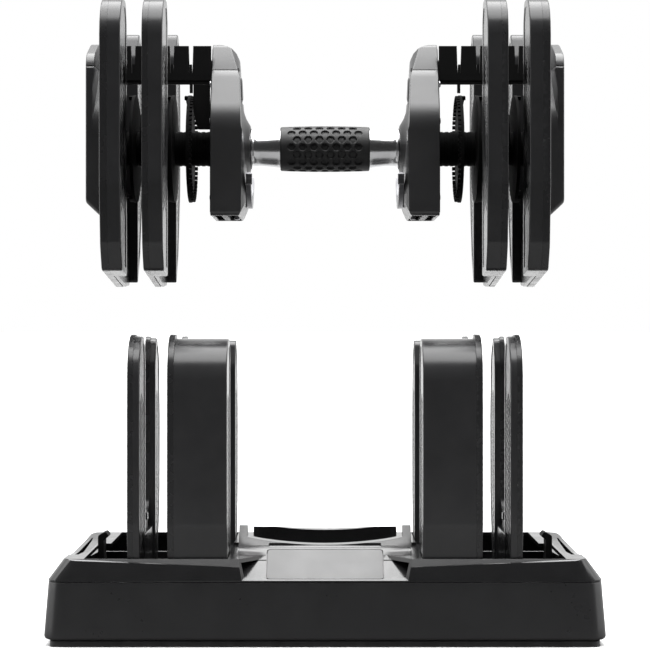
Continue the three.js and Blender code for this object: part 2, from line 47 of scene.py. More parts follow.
AXLE_LIFTED = (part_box("drive_rod")[0].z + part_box("drive_rod")[1].z) / 2 / MM
AXLE_DOCKED = AXLE_LIFTED - (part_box("plate_a_core_right")[0].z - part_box("plate_k_core_right")[0].z) / MM
PLATE_TOP = 113.6                                 # top of the near leg above the axle
SLOT_HALF = 47
TAB = {"low": -40.4, "high": -34.6, "width": 8}
HALF_WIDTH = 45                                   # of the covers and the end caps
WALL = 2.4                                        # of the covers and the end caps
SEAM = 63                                         # joint of the covers and the end caps, above the axle
SEAM_BELOW = -0.1                                 # top of the lower half, from the joint
SIDES = (("left", -1), ("right", 1))


def span(node):
    """Lowest and highest X of a right-hand CAD node, in millimetres."""
    low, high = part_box(node)
    return low.x / MM, high.x / MM


# ---------------------------------------------------------------- outlines
def rounded(corners, steps=5):
    """Points of a closed outline whose corners (u, v, radius) are rounded."""
    points = []
    for i, (u, v, radius) in enumerate(corners):
        corner = Vector((u, v))
        back = (Vector(corners[i - 1][:2]) - corner).normalized()
        on = (Vector(corners[(i + 1) % len(corners)][:2]) - corner).normalized()
        half = math.acos(max(-1, min(1, back.dot(on)))) / 2
        centre = corner + (back + on).normalized() * (radius / math.sin(half))
        first = corner + back * (radius / math.tan(half)) - centre
        last = corner + on * (radius / math.tan(half)) - centre
        sweep = math.atan2(first.x * last.y - first.y * last.x, first.dot(last))
        for k in range(steps + 1):
            points.append(centre + Matrix.Rotation(sweep * k / steps, 2) @ first)
    return points


def moved_in(corners, distance):
    """The corners of an outline that lies a distance inside the given one."""
    area = sum(a[0] * b[1] - b[0] * a[1] for a, b in zip(corners, corners[1:] + corners[:1]))
    turn = 1 if area > 0 else -1
    moved = []
    for i, (u, v, radius) in enumerate(corners):
        corner = Vector((u, v))
        before = (corner - Vector(corners[i - 1][:2])).normalized()
        after = (Vector(corners[(i + 1) % len(corners)][:2]) - corner).normalized()
        inward = [Vector((-e.y, e.x)) * turn for e in (before, after)]
        shift = (inward[0] + inward[1]) * (distance / (1 + inward[0].dot(inward[1])))
        bulges = (before.x * after.y - before.y * after.x) * turn > 0
        new_radius = max(radius - distance, 0.3) if bulges else radius + distance
        moved.append((*(corner + shift), new_radius))
    return moved


HOUSING_TOP = 86.3
GABLE = [(HALF_WIDTH, 24, 42), (25, 55.5, 200), (4.5, HOUSING_TOP, 7)]            # leans in to a narrow top
SHOULDERED = [(HALF_WIDTH, 30, 0), (HALF_WIDTH, 71.5, 15), (8, HOUSING_TOP, 38)]  # upright to its shoulders


def housing(inset, low, corners=GABLE, foot=4, steps=7):
    """The closed outline of the housings about the axle, from one foot corner round over the top.

    A corner of radius 0 lies on a straight side and gives it as many points as a rounded one has.
    """
    half = HALF_WIDTH - inset
    top = len(corners) - 1
    right = [(y - (inset / 2 if i == top else inset), z - (inset if i == top else 0), radius)
             for i, (y, z, radius) in enumerate(corners)]
    left = [(-y, z, radius) for y, z, radius in reversed(right)]
    foot = max(foot - inset, 0.4)
    places = [(-half, low, foot), (half, low, foot), *right, *left]
    turned = rounded([place for place in places if place[2] > 0], steps)
    points = []
    for y, z, radius in places:
        if radius > 0:
            points += turned[:steps + 1]
            turned = turned[steps + 1:]
        else:
            rise = math.copysign(4, y)
            points += [Vector((y, z + (k - steps / 2) * rise)) for k in range(steps + 1)]
    return points


# ---------------------------------------------------------------- mesh building
def bridge_rings(bm, rings, closed=False):
    """Joins rings of points, given in millimetres, into a skin, and caps both ends unless it is closed."""
    made = [[bm.verts.new(Vector(p) * MM) for p in ring] for ring in rings]
    count = len(made[0])
    pairs = list(zip(made, made[1:])) + ([(made[-1], made[0])] if closed else [])
    for a, b in pairs:
        for i in range(count):
            j = (i + 1) % count
            bm.faces.new((a[i], a[j], b[j], b[i]))
    if not closed:
        bm.faces.new(made[0][::-1])
        bm.faces.new(made[-1])
    return made


def slab(bm, corners, x0, x1, edge=0.8, far_edge=None, panel=None, height=0.0, steps=5, turns=3):
    """A flat piece across X with rounded edges. panel is (rim, depth) of a recess in its inner face."""
    def ring(inset, x):
        return [(x, p.x, p.y + height) for p in rounded(moved_in(corners, inset), steps)]
    rings = []
    if panel:
        rim, depth = panel
        rings += [ring(rim + 0.6, x0 + depth), ring(rim, x0)]
    for k in range(turns + 1):
        angle = math.pi / 2 * k / turns
        rings.append(ring(edge * (1 - math.sin(angle)), x0 + edge * (1 - math.cos(angle))))
    far_edge = edge if far_edge is None else far_edge
    for k in range(turns + 1):
        angle = math.pi / 2 * (1 - k / turns)
        rings.append(ring(far_edge * (1 - math.sin(angle)), x1 - far_edge * (1 - math.cos(angle))))
    bridge_rings(bm, rings)


def lathe(bm, profile, sides=72, height=0.0):
    """A closed turned piece about the X axis. The profile's points are (radius, x), in a closed loop."""
    rings = []
    for k in range(sides):
        angle = 2 * math.pi * k / sides
        rings.append([(x, r * math.cos(angle), r * math.sin(angle) + height) for r, x in profile])
    bridge_rings(bm, rings, closed=True)


def knob(bm, x, y, z, radius, rise, sides=16):
    """A low domed screw head on a face across X, with a hexagonal socket."""
    turn = [2 * math.pi * k / sides for k in range(sides)]
    rings = []
    for scale, out in ((1.0, -0.3), (1.0, 0.25 * rise), (0.93, 0.6 * rise), (0.75, 0.9 * rise), (0.5, rise)):
        reach = radius * scale
        rings.append([(x + out, y + reach * math.cos(a), z + reach * math.sin(a)) for a in turn])
    for out in (rise, -0.1):
        hexagon = []
        for a in turn:
            reach = 0.36 * radius / math.cos((a + math.pi / 6) % (math.pi / 3) - math.pi / 6)
            hexagon.append((x + out, y + reach * math.cos(a), z + reach * math.sin(a)))
        rings.append(hexagon)
    bridge_rings(bm, rings)


def piece(name, bm, material, body, replaces=(), side=1, sharp=34, solid=0.0):
    """Makes an object of a mesh built for the right end, mirrored for the left, riding on its body."""
    if side < 0:
        bmesh.ops.scale(bm, vec=(-1, 1, 1), verts=bm.verts)
    bmesh.ops.recalc_face_normals(bm, faces=bm.faces)
    mesh = bpy.data.meshes.new(name)
    bm.to_mesh(mesh)
    bm.free()
    mesh.shade_smooth()
    mesh.set_sharp_from_angle(angle=math.radians(sharp))
    mesh.materials.append(material)
    made = bpy.data.objects.new(name, mesh)
    bpy.context.scene.collection.objects.link(made)
    if solid:
        shell = made.modifiers.new("wall", "SOLIDIFY")
        shell.thickness = solid * MM
        shell.offset = -1
    made.modifiers.new("normals", "WEIGHTED_NORMAL").keep_sharp = True
    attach(made, body)
    if replaces:
        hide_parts(*replaces)
    return made


def dress(node, material, bevel=0.35, angle=30, segments=2):
    """Gives a CAD node its material and small rounded edges."""
    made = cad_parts[node]
    made.data.materials.clear()
    made.data.materials.append(material)
    made.data.shade_smooth()
    weld = made.modifiers.new("weld", "WELD")
    weld.merge_threshold = 0.00001
    if bevel:
        edges = made.modifiers.new("edges", "BEVEL")
        edges.width = bevel * MM
        edges.segments = segments
        edges.limit_method = "ANGLE"
        edges.angle_limit = math.radians(angle)
    made.modifiers.new("normals", "WEIGHTED_NORMAL").keep_sharp = True


# ---------------------------------------------------------------- materials
class Nodes:
    """A small helper to chain shader nodes."""

    def __init__(self, name):
        self.material = bpy.data.materials.new(name)
        self.material.use_nodes = True
        self.tree = self.material.node_tree
        self.shader = self.tree.nodes["Principled BSDF"]
        self.place = self.add("ShaderNodeTexCoord").outputs["Object"]

    def add(self, kind, **settings):
        node = self.tree.nodes.new(kind)
        for key, value in settings.items():
            setattr(node, key, value)
        return node

    def link(self, output, socket):
        self.tree.links.new(output, socket)

    def noise(self, scale, detail=3, stretch=(1, 1, 1)):
        spread = self.add("ShaderNodeMapping")
        spread.inputs["Scale"].default_value = stretch
        self.link(self.place, spread.inputs["Vector"])
        node = self.add("ShaderNodeTexNoise")
        node.inputs["Scale"].default_value = scale
        node.inputs["Detail"].default_value = detail
        self.link(spread.outputs["Vector"], node.inputs["Vector"])
        return node.outputs["Fac"]

    def spread(self, value, low, high, from_low=0.3, from_high=0.7):
        node = self.add("ShaderNodeMapRange")
        numbers = {"From Min": from_low, "From Max": from_high, "To Min": low, "To Max": high}
        for socket, number in numbers.items():
            node.inputs[socket].default_value = number
        self.link(value, node.inputs["Value"])
        return node.outputs["Result"]

    def blend(self, value, dark, light):
        node = self.add("ShaderNodeMix", data_type="RGBA")
        sockets = [socket for socket in node.inputs if socket.type == "RGBA"]
        for color, socket in zip((dark, light), sockets):
            if isinstance(color, tuple):
                socket.default_value = (*color, 1)
            else:
                self.link(color, socket)
        self.link(value, node.inputs["Factor"])
        return next(output for output in node.outputs if output.type == "RGBA")

    def bump(self, value, distance, strength=1.0, below=None):
        node = self.add("ShaderNodeBump")
        node.inputs["Distance"].default_value = distance * MM
        node.inputs["Strength"].default_value = strength
        self.link(value, node.inputs["Height"])
        if below:
            self.link(below, node.inputs["Normal"])
        return node.outputs["Normal"]

    def times(self, a, b, operation="MULTIPLY"):
        node = self.add("ShaderNodeMath", operation=operation)
        for value, socket in zip((a, b), node.inputs):
            if isinstance(value, (int, float)):
                socket.default_value = value
            else:
                self.link(value, socket)
        return node.outputs["Value"]

    def set(self, **sockets):
        names = {"color": "Base Color", "roughness": "Roughness", "metallic": "Metallic",
                 "normal": "Normal", "specular": "Specular IOR Level", "coat": "Coat Weight",
                 "coat_roughness": "Coat Roughness"}
        for key, value in sockets.items():
            socket = self.shader.inputs[names[key]]
            if isinstance(value, bpy.types.NodeSocket):
                self.link(value, socket)
            else:
                socket.default_value = (*value, 1) if isinstance(value, tuple) else value
        return self.material


def grey(level):
    return (level, level, level * 1.04)


def moulded(name, level, roughness, grain=0.05, grain_scale=2600, swing=0.025, specular=1.0):
    """Moulded plastic: fine erosion grain, slow waviness of the gloss and a trace of handling marks."""
    n = Nodes(name)
    cloud = n.noise(38, 4)
    smear = n.noise(210, 5, (1, 0.25, 1))
    gloss = n.times(n.spread(cloud, -swing, swing), n.spread(smear, -swing / 2, swing / 2), "ADD")
    color = n.blend(n.spread(cloud, 0, 1), grey(level * 0.92), grey(level * 1.08))
    skin = n.bump(n.noise(grain_scale, 2), grain, 0.7)
    wave = n.bump(n.noise(26, 2), 0.05, 0.15, skin)
    return n.set(color=color, roughness=n.times(gloss, roughness, "ADD"), normal=wave, specular=specular)


def coated_steel(name, level, roughness):
    """Powder coat: orange peel and fine speckle, with paler worn corners."""
    n = Nodes(name)
    peel = n.noise(900, 3)
    edge = n.add("ShaderNodeNewGeometry").outputs["Pointiness"]
    worn = n.times(n.spread(edge, 0, 1, 0.54, 0.62), n.spread(n.noise(260, 4), 0, 1, 0.42, 0.6))
    speckle = n.blend(n.spread(n.noise(4200, 1), 0, 1), grey(level * 0.8), grey(level * 1.3))
    color = n.blend(worn, speckle, grey(level * 1.7))
    gloss = n.spread(n.noise(60, 3), roughness - 0.05, roughness + 0.07)
    return n.set(color=color, roughness=gloss, normal=n.bump(peel, 0.02, 0.4), specular=0.6)


def chrome_plate():
    n = Nodes("chrome")
    hair = n.noise(420, 4, (1, 26, 26))
    haze = n.noise(55, 3)
    rough = n.times(n.spread(hair, 0.13, 0.20), n.spread(haze, 0.0, 0.05), "ADD")
    color = n.blend(n.spread(haze, 0, 1), (0.80, 0.80, 0.81), (0.92, 0.92, 0.93))
    return n.set(color=color, metallic=1.0, roughness=rough, normal=n.bump(hair, 0.01, 0.4))


def bright_metal(name, level, roughness):
    n = Nodes(name)
    lines = n.noise(600, 3, (0.05, 1, 1))
    color = n.blend(n.spread(lines, 0, 1), grey(level * 0.8), grey(level))
    return n.set(color=color, metallic=1.0, roughness=n.spread(lines, roughness, roughness + 0.15),
                 normal=n.bump(lines, 0.02, 0.5))


def moulded_rubber(name, level):
    n = Nodes(name)
    grain = n.noise(3000, 3)
    dust = n.noise(90, 5)
    color = n.blend(n.spread(dust, 0, 1), grey(level * 0.8), grey(level * 1.5))
    return n.set(color=color, roughness=n.spread(dust, 0.46, 0.62), normal=n.bump(grain, 0.06, 0.8),
                 specular=0.6)


def smoked_lens():
    n = Nodes("window_lens")
    film = n.noise(70, 3)
    color = n.blend(n.spread(film, 0, 1), grey(0.012), grey(0.02))
    return n.set(color=color, roughness=n.spread(film, 0.03, 0.1), coat=1.0, coat_roughness=0.03)


M = {
    "cover": moulded("satin_black", 0.036, 0.35, grain=0.025),
    "boss": moulded("boss_black", 0.022, 0.42, specular=0.35),
    "weights": moulded("plate_coat", 0.037, 0.24, grain=0.015, specular=0.6),
    "core": coated_steel("painted_steel", 0.027, 0.25),
    "frame": moulded("deep_black", 0.003, 0.6, grain=0.07, specular=0.25),
    "selector": moulded("selector_black", 0.003, 0.75, specular=0.12),
    "tray": moulded("tray_black", 0.026, 0.30, grain=0.02, specular=0.55),
    "deck": moulded("tray_deck_black", 0.017, 0.20, grain=0.01, specular=0.8),
    "panel": moulded("panel_grey", 0.02, 0.34, grain=0.02),
    "dial": moulded("dial_grey", 0.06, 0.5),
    "chrome": chrome_plate(),
    "steel": bright_metal("bright_steel", 0.6, 0.25),
    "guard": bright_metal("satin_zinc", 0.22, 0.3),
    "rubber": moulded_rubber("grip_rubber", 0.011),
    "foot": moulded_rubber("foot_rubber", 0.05),
    "lens": smoked_lens(),
}


# ---------------------------------------------------------------- weight plates
def near_side(top):
    return [(-SLOT_HALF, top - 16.6, 14), (-56, top, 8), (-102.4, top, 33), (-103, 40, 30),
            (-103, -36, 40), (-96, -84, 20), (-85, -103, 6)]


def far_side(top):
    return [(46, -113, 10), (72, -88, 30), (95, -28, 60), (97, 40, 40), (90, top - 18, 20),
            (74, top - 2, 12), (60, top + 1, 12), (SLOT_HALF, top - 24, 20)]


def between(value, table):
    """Linear interpolation in a list of (input, output) pairs."""
    for (a, fa), (b, fb) in zip(table, table[1:]):
        if a <= value <= b:
            return fa + (fb - fa) * (value - a) / (b - a)
    return table[0][1] if value < table[0][0] else table[-1][1]


NEAR_EDGE = [(-103, 85), (-84, 96), (-36, 103), (40, 103), (89, 97), (109, 82)]
FAR_EDGE = [(-112, 47), (-88, 72), (-28, 95), (40, 97), (90, 90), (104, 74)]


def chevrons(bm, x, edge_table, sign, height, rise=0.28, pitch=5.4, low=-58, high=58):
    """Raised arrow-shaped ribs on the floor of a leg's recess."""
    z = low
    while z < high:
        inner = SLOT_HALF + 9
        outer = between(z, edge_table) - 9
        if outer - inner > 10:
            middle = (inner + outer) / 2
            line = [(inner, z), (middle, z + (outer - inner) * 0.28), (outer, z)]
            rings = []
            for y, at in line:
                section = [(-1.2, -0.3), (-0.7, rise), (0.7, rise), (1.2, -0.3)]
                rings.append([(x - up, sign * y, at + across + height) for across, up in section])
            bridge_rings(bm, rings)
        z += pitch


PLATES = {
    "k": {"core": 5.0, "step": 3.5, "far": 112, "body": "plate_k_", "deep": True, "axle": AXLE_DOCKED},
    "b": {"core": 5.0, "step": 0.0, "far": 105, "body": "dumbbell", "deep": False, "axle": AXLE_LIFTED},
    "t": {"core": 4.4, "step": 1.5, "far": 112, "body": "plate_t_", "deep": False, "axle": AXLE_DOCKED},
    "a": {"core": 6.0, "step": 0.0, "far": 105, "body": "dumbbell", "deep": False, "axle": AXLE_LIFTED},
}


def body_of(plate, word):
    return plate["body"] + word if plate["body"].endswith("_") else plate["body"]


def plate_core(key, word, side):
    plate = PLATES[key]
    hook_from, outer = span(f"plate_{key}_core_right")
    inner = outer - plate["core"]
    corners = near_side(PLATE_TOP) + [(22, -114, 8)] + far_side(plate["far"])
    corners += [(SLOT_HALF, TAB["high"], 10), (-SLOT_HALF, TAB["high"], 10)]
    bm = bmesh.new()
    slab(bm, corners, inner, outer, edge=0.12, far_edge=1.0, height=plate["axle"])
    half = TAB["width"] / 2
    tab = [(y, TAB[end], 0.5) for y, end in ((-half, "low"), (half, "low"), (half, "high"), (-half, "high"))]
    slab(bm, tab, hook_from, inner + 1, edge=0.4, height=plate["axle"], steps=2)
    for y, z in ((-75, 70), (-78, 0), (-72, -72), (74, 62), (76, 0), (58, -74), (0, -78)):
        knob(bm, outer, y, z + plate["axle"], 3.6, 0.8)
    piece(f"plate_{key}_steel_{word}", bm, M["core"], body_of(plate, word),
          [f"plate_{key}_core_{word}"], side)


def plate_weights(key, word, side):
    plate = PLATES[key]
    inner, outer = span(f"plate_{key}_weights_right")
    height = plate["axle"]
    near = near_side(PLATE_TOP - plate["step"]) + [(-SLOT_HALF, -107, 3)]
    far = [(SLOT_HALF, -112.6, 2)] + far_side(plate["far"] - plate["step"])[1:]
    bm = bmesh.new()
    for leg in (near, far):
        slab(bm, leg, inner, outer + 0.25, edge=1.2, far_edge=0.05, panel=(6, 0.5), height=height)
    chevrons(bm, inner + 0.5, NEAR_EDGE, -1, height)
    chevrons(bm, inner + 0.5, FAR_EDGE, 1, height)
    top = -66 if plate["deep"] else -50
    start = inner + 0.5 if plate["deep"] else outer - 3
    skirt = [(-50, -106.6, 1), (-50, top, 1), (50, top, 1), (50, -109.5, 1), (46, -112.4, 1),
             (22, -113.7, 2)]
    slab(bm, skirt, start, outer - 0.05, edge=0.6, height=height, steps=2)
    piece(f"plate_{key}_moulding_{word}", bm, M["weights"], body_of(plate, word),
          [f"plate_{key}_weights_{word}"], side)


# ---------------------------------------------------------------- inner covers
COVER = {"face": 68, "lean": 2.8, "chin": 64.4, "skirt": 90.4, "outer": 92.8, "low": -57.5, "round": 17}
COVER_GAP = 0.6                                   # bottom of the upper half, from the joint


def cut_at(bm, height, keep_above):
    """Cuts a mesh level, in millimetres, and keeps one part."""
    bmesh.ops.bisect_plane(bm, geom=bm.verts[:] + bm.edges[:] + bm.faces[:], plane_co=(0, 0, height * MM),
                           plane_no=(0, 0, 1), clear_inner=keep_above, clear_outer=not keep_above)


def wide(face):
    """Width of a face across Y, in millimetres."""
    across = [vert.co.y for vert in face.verts]
    return (max(across) - min(across)) / MM


def skin(rings, cap_first=False, cap_last=False):
    """An open shell through rings of points."""
    bm = bmesh.new()
    made = [[bm.verts.new(Vector(p) * MM) for p in ring] for ring in rings]
    for a, b in zip(made, made[1:]):
        for i in range(len(a)):
            j = (i + 1) % len(a)
            bm.faces.new((a[i], a[j], b[j], b[i]))
    if cap_first:
        bm.faces.new(made[0][::-1])
    if cap_last:
        bm.faces.new(made[-1])
    return bm


def cover_face(z):
    """X of the cover's face on the handle's side at a height above the axle."""
    c = COVER
    x = between(z, [(c["low"], 69.6), (-47.6, 64.9), (-46, c["chin"]), (2.5, c["chin"]), (5.5, 64.7),
                    (14, 67.6), (18, 68.05), (HOUSING_TOP, c["face"] + c["lean"])])
    above = z - (HOUSING_TOP - c["round"])
    if above > 0:
        x += c["round"] - math.sqrt(max(c["round"] ** 2 - above ** 2, 0.0))
    return x


def cover_skin():
    """The open shell of an inner cover, from its face round a fine edge to its back."""
    c = COVER

    def ring(inset, place):
        return [(place(p.y), p.x, p.y + AXLE_LIFTED) for p in housing(inset, c["low"] + inset)]

    def shrunk(share):
        points = [Vector((p.x * share, 12 + (p.y - 12) * share)) for p in housing(0.9, c["low"] + 0.9)]
        return [(cover_face(p.y), p.x, p.y + AXLE_LIFTED) for p in points]
    rings = [shrunk(share) for share in (0.05, 0.2, 0.35, 0.5, 0.64, 0.76, 0.86, 0.94)]
    rings.append(ring(0.9, cover_face))
    rings.append(ring(0.28, lambda z: cover_face(z) + 0.28))
    rings.append(ring(0, lambda z: cover_face(z) + 0.9))
    rings += [ring(0, lambda z, x=x: max(x, cover_face(z) + 0.95)) for x in (c["skirt"], 92.3)]
    rings.append(ring(0.4, lambda z: c["outer"]))
    bm = skin(rings, cap_first=True)
    floor = (AXLE_LIFTED + c["low"] + 0.5) * MM
    to_skirt = (c["skirt"] - 0.4) * MM
    foot = [f for f in bm.faces if all(v.co.z < floor for v in f.verts) and wide(f) > 60]
    opening = [f for f in foot if f.calc_center_median().x < to_skirt < max(v.co.x for v in f.verts)]
    bmesh.ops.delete(bm, geom=opening, context="FACES")
    return bm


def half_at(z, corners):
    """Half the width of a housing at a height on its straight sides."""
    return between(z, [(high, y) for y, high, _ in corners])


def seam_shadow_tongue(name, outline, side):
    """The tongue that fills the joint between the two halves of a housing, just under its skin. The lip is
    real; its near-black matte finish is painted shade that makes the joint read as a dark line.
    """
    bm = bmesh.new()
    rings = []
    for z in (SEAM - 1.5, SEAM + 2):
        near = [(x, -half_at(z, corners) + 0.5) for x, corners in outline]
        far = [(x, -y) for x, y in reversed(near)]
        rings.append([(x, y, z + AXLE_LIFTED) for x, y in near + far])
    bridge_rings(bm, rings)
    # The deep_black finish here is painted shade in the joint, on a lip the real housing has.
    piece(name, bm, M["frame"], "dumbbell", side=side)


def inner_cover(word, side):
    for part, above in (("lower", False), ("upper", True)):
        bm = cover_skin()
        cut_at(bm, AXLE_LIFTED + SEAM + (COVER_GAP if above else SEAM_BELOW), above)
        node = f"inner_cover_cap_{word}" if above else f"inner_cover_{word}"
        piece(f"cover_{part}_{word}", bm, M["cover"], "dumbbell", [node], side, solid=WALL)
    seam_shadow_tongue(f"cover_shadow_tongue_{word}", [(70.5, GABLE), (92.0, GABLE)], side)
    bm = bmesh.new()
    back = 93.2
    bridge_rings(bm, [[(x, p.x, p.y + AXLE_LIFTED) for p in housing(2.7, -54.6)] for x in (90.6, back)])
    piece(f"cover_back_{word}", bm, M["frame"], "dumbbell",
          [f"cover_back_plate_{word}"], side)
    bm = bmesh.new()
    rib = [(-41.5, -57.3, 0.5), (41.5, -57.3, 0.5), (41.5, -49, 0.5), (-41.5, -49, 0.5)]
    slab(bm, rib, 79.5, 84.5, edge=0.4, height=AXLE_LIFTED, steps=2)
    piece(f"cover_foot_rib_{word}", bm, M["dial"], "dumbbell", side=side)
    bm = bmesh.new()
    flare = [(17.0, 71), (17.0, 62.1), (17.5, 61.6), (18.6, 61.6), (19.4, 61.9), (21.5, 63.2),
             (25, 65.2), (30, 67.0), (36, 68.0), (39, 68.3), (39, 69.6), (20, 71)]
    lathe(bm, flare, 72, AXLE_LIFTED)
    piece(f"cover_boss_{word}", bm, M["boss"], "dumbbell", side=side)
    bm = bmesh.new()
    window = [(-12, 37, 4), (12, 37, 4), (12, 59, 4), (-12, 59, 4)]
    levels = ((0, 0.9), (0, -0.2), (0.7, -0.9), (2.6, -1.5), (5.5, -1.9))
    rings = []
    for inset, x in levels:
        outline = rounded(moved_in(window, inset), 6)
        rings.append([(cover_face(p.y) + x, p.x, p.y + AXLE_LIFTED) for p in outline])
    bridge_rings(bm, rings)
    piece(f"window_lens_{word}", bm, M["lens"], "dumbbell",
          [f"number_window_{word}"], side)
    bm = bmesh.new()
    for y, z in ((-34, 20), (34, 20), (-30, -42), (30, -42), (-32, 50), (32, 50)):
        knob(bm, back, y, z + AXLE_LIFTED, 2.6, 0.9)
    piece(f"cover_screws_{word}", bm, M["steel"], "dumbbell", side=side)


# ---------------------------------------------------------------- end caps
# The outline turns from the gable to the shoulders over "turn", which starts at "neck" at the shoulders
# and at "band" lower down. The floor rises outwards from "level_to".
CAP = {"inner": 177.3, "outer": 193.5, "low": -61, "level_to": 178.5, "rise": 14 / 15, "neck": 185.2,
       "band": 188.3, "turn": 1.6, "steps": 8, "slot": 13, "slot_to": 191.5}
CAP_GAP = 0.45                                    # bottom of the upper half, from the joint


def end_cap_skin():
    """The open shell of an end cap: a gable that runs out into a shouldered outer band, and a flat end."""
    c = CAP

    def ring(x, inset=0, share=1.0, start=None):
        low = c["low"] + max(0, x - c["level_to"]) * c["rise"] + inset
        points = []
        for a, b in zip(housing(inset, low), housing(inset, low, SHOULDERED)):
            p = a.lerp(b, share * share * (3 - 2 * share))
            at = between(b.y, start) + c["turn"] * share if start else x
            points.append((at, p.x, p.y + AXLE_LIFTED))
        return points
    outer = c["outer"]
    rings = [ring(x, share=0) for x in (c["inner"], c["level_to"], 181, 183, 184.6)]
    for k in range(c["steps"] + 1):
        share = k / c["steps"]
        rings.append(ring(c["band"] + c["turn"] * share, 0, share, [(15, c["band"]), (62, c["neck"])]))
    rings += [ring(x) for x in (190.4, 191.2, 192.4)]
    rings += [ring(outer - back, inset) for back, inset in ((0.5, 0.2), (0.15, 0.6), (0, 1.2), (0, 4))]
    middle = ring(outer, 4)
    centre = AXLE_LIFTED + 14
    for share in (0.85, 0.6, 0.3, 0.05):
        rings.append([(x, y * share, centre + (z - centre) * share) for x, y, z in middle])
    bm = skin(rings, cap_last=True)
    cut_hook_slot(bm)
    return bm


def cut_hook_slot(bm):
    """Opens the slot in the floor of an end cap that takes the tray's latch hook."""
    top, end = (AXLE_LIFTED - 44) * MM, CAP["slot_to"] * MM

    def floor(narrowest):
        low = [f for f in bm.faces if all(v.co.z < top and v.co.x < end for v in f.verts)]
        return [f for f in low if wide(f) > narrowest]
    for y in (-CAP["slot"], CAP["slot"]):
        faces = floor(2 * CAP["slot"])
        parts = [*faces, *{e for f in faces for e in f.edges}, *{v for f in faces for v in f.verts}]
        bmesh.ops.bisect_plane(bm, geom=parts, plane_co=(0, y * MM, 0), plane_no=(0, 1, 0))
    slot = [f for f in floor(20) if abs(f.calc_center_median().y) < MM]
    bmesh.ops.delete(bm, geom=slot, context="FACES")


def end_cap(word, side):
    for part, above in (("lower", False), ("upper", True)):
        bm = end_cap_skin()
        cut_at(bm, AXLE_LIFTED + SEAM + (CAP_GAP if above else SEAM_BELOW), above)
        node = f"end_cap_top_{word}" if above else f"end_cap_{word}"
        piece(f"end_shell_{part}_{word}", bm, M["cover"], "dumbbell", [node], side, solid=WALL)
    outline = [(178, GABLE), (185.6, GABLE), (187.3, SHOULDERED), (193.1, SHOULDERED)]
    seam_shadow_tongue(f"end_shadow_tongue_{word}", outline, side)


# ---------------------------------------------------------------- handle
def handle_tube():
    """The chromed tube: a collar in each cover, a flange, a waisted neck, and the seat of the sleeve."""
    collar = [(16.5, -67), (16.5, -65.2), (15.2, -65), (15.2, -61.4)]
    flange = [(16.3, -61.3), (16.8, -61.0), (17.0, -60.5), (16.9, -60.0), (16.4, -59.4), (15.8, -58.6)]
    neck = [(15.3, -57.6), (14.95, -56.2), (14.85, -54.5), (14.95, -52), (15.2, -49), (15.5, -46),
            (15.85, -43), (16.2, -40), (16.5, -37.4)]
    outside = collar + flange + neck
    profile = outside + [(r, -x) for r, x in reversed(outside)] + [(9.5, 67), (9.5, -67)]
    bm = bmesh.new()
    lathe(bm, profile, 96, AXLE_LIFTED)
    piece("handle_chrome", bm, M["chrome"], "handle", ["handle_tube"], sharp=50)


GRIP = {"half": 37, "radius": 18.9, "end": 18.1, "bore": 15.3, "dimple": 3.25, "depth": 1.5, "pitch": 9.2,
        "columns": 18}


def dimple_depth(x, angle):
    """How deep the surface lies below the sleeve at a place, from the nearest dimple."""
    g = GRIP
    if abs(x) > g["half"] - 4.2:
        return 0.0
    step = 2 * math.pi / g["columns"]
    nearest = round(angle / step)
    deepest = 0.0
    for column in (nearest - 1, nearest, nearest + 1):
        shift = 0.5 if column % 2 else 0.0
        row = round(x / g["pitch"] - shift) + shift
        if abs(row * g["pitch"]) > g["half"] - 6.5:
            continue
        dx = x - row * g["pitch"]
        dy = (angle - column * step) * g["radius"]
        hexagon = max(abs(dy), abs(dx * 0.866 + dy * 0.5), abs(dx * 0.866 - dy * 0.5))
        reach = 0.55 * hexagon * 1.06 + 0.45 * math.hypot(dx, dy)
        wall = min(1, max(0, (g["dimple"] - reach) / 0.5))
        deepest = max(deepest, wall * wall * (3 - 2 * wall))
    return deepest * g["depth"]


def grip_sleeve():
    g = GRIP
    around, along = 324, 190
    profile = []
    for k in range(along + 1):
        x = -g["half"] + 2 * g["half"] * k / along
        radius = g["end"] + (g["radius"] - g["end"]) * (1 - (x / g["half"]) ** 2)
        edge = g["half"] - abs(x)
        if edge < 1.2:
            radius -= 1.2 - math.sqrt(max(0, 1.44 - (1.2 - edge) ** 2))
        profile.append((radius, x))
    bm = bmesh.new()
    rings = []
    for i in range(around):
        angle = 2 * math.pi * i / around
        ring = []
        for radius, x in profile:
            r = radius - dimple_depth(x, angle)
            ring.append((x, -r * math.cos(angle), r * math.sin(angle) + AXLE_LIFTED))
        for x in (g["half"], -g["half"]):
            ring.append((x, -g["bore"] * math.cos(angle), g["bore"] * math.sin(angle) + AXLE_LIFTED))
        rings.append(ring)
    bridge_rings(bm, rings, closed=True)
    piece("grip_rubber_sleeve", bm, M["rubber"], "handle", ["grip_sleeve"], sharp=55)


def selector_details(word, side):
    """Fine teeth round the rim of the first disc, and ribs round the hubs between the discs."""
    disc = 110.4
    teeth = 60
    bm = bmesh.new()
    for k in range(teeth):
        a = 2 * math.pi * k / teeth
        half = math.pi / teeth * 0.55
        rings = []
        for x in (disc - 2.4, disc + 0.2):
            tooth = ((41.6, a - half), (43.9, a - half), (43.9, a + half), (41.6, a + half))
            rings.append([(x, r * math.cos(t), r * math.sin(t) + AXLE_LIFTED) for r, t in tooth])
        bridge_rings(bm, rings)
    piece(f"selector_k_teeth_{word}", bm, M["selector"], "handle", side=side,
          sharp=20)
    bm = bmesh.new()
    for low, high in ((94.6, 109.2), (113.8, 123.2), (127.6, 143.2), (147.8, 155.2)):
        x = low
        while x + 3 < high:
            rib = ((13.6, 0), (14.25, 0.2), (14.3, 0.5), (14.3, 2.5), (14.25, 2.8), (13.6, 3))
            lathe(bm, [(radius, x + on) for radius, on in rib], 48, AXLE_LIFTED)
            x += 4.6
    piece(f"hub_ribs_{word}", bm, M["selector"], "handle", side=side)


